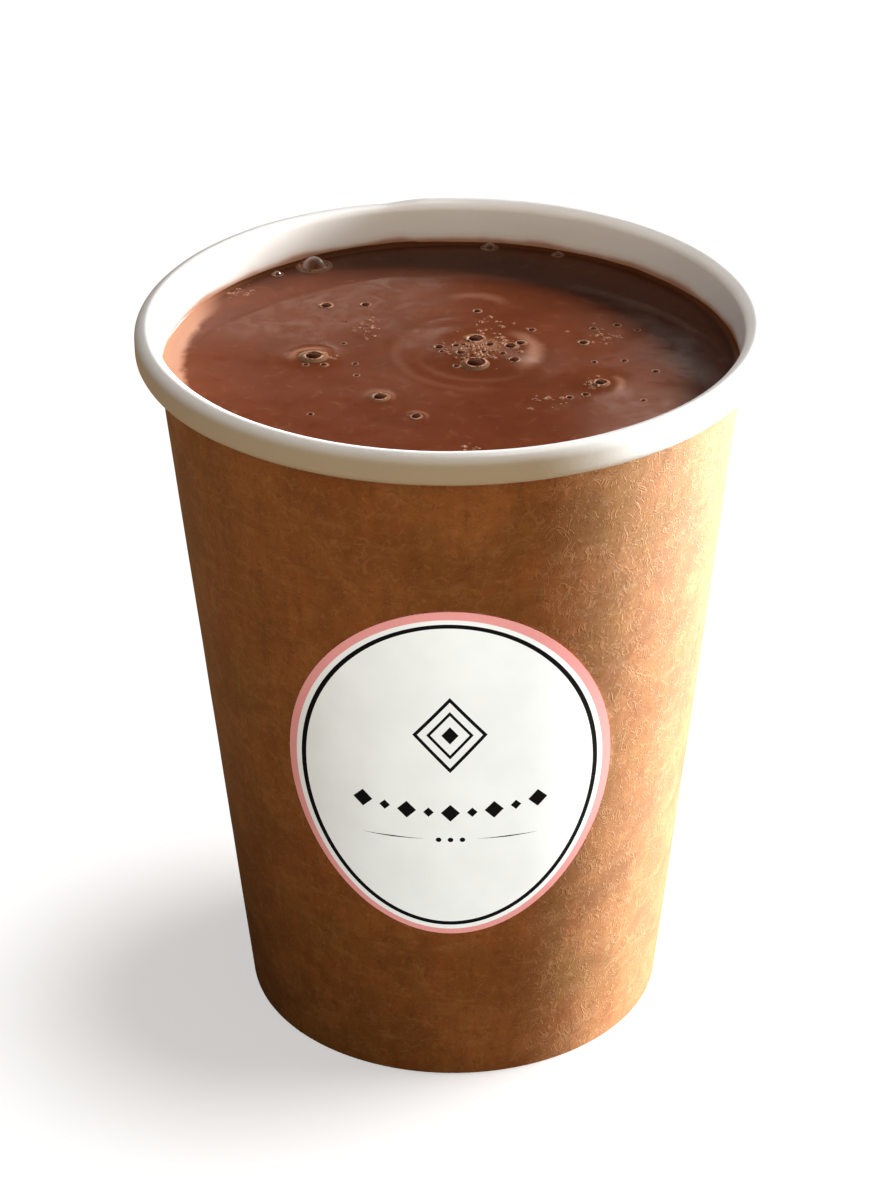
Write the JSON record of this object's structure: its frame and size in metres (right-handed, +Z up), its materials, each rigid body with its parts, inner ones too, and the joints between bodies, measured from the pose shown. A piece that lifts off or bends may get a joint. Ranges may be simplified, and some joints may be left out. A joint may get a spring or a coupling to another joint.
{
  "type": "hot chocolate in a paper cup",
  "caption": "Kraft paper takeaway cup with a rolled white rim and an oval label, filled to near the brim with hot chocolate with small bubbles on top.",
  "frame": {"origin": "centre of the cup's foot ring, on the surface it stands on", "axes": "+Z up along the cup's axis, -Y towards the oval label, +X to the right seen from the label's side"},
  "size_m": [0.09, 0.09, 0.11],
  "materials": {
    "kraft_board": "uncoated brown kraft outside, white coated inside and on the rim",
    "white_board": "matte white coated board",
    "hot_chocolate": "glossy liquid, milky brown, with bubbles",
    "label_paper": "smooth printed paper, white with a pink border"
  },
  "bodies": {
    "root": {"cup_wall": "kraft_board", "cup_base": "white_board", "chocolate": "hot_chocolate", "label": "label_paper"}
  },
  "joints": []
}
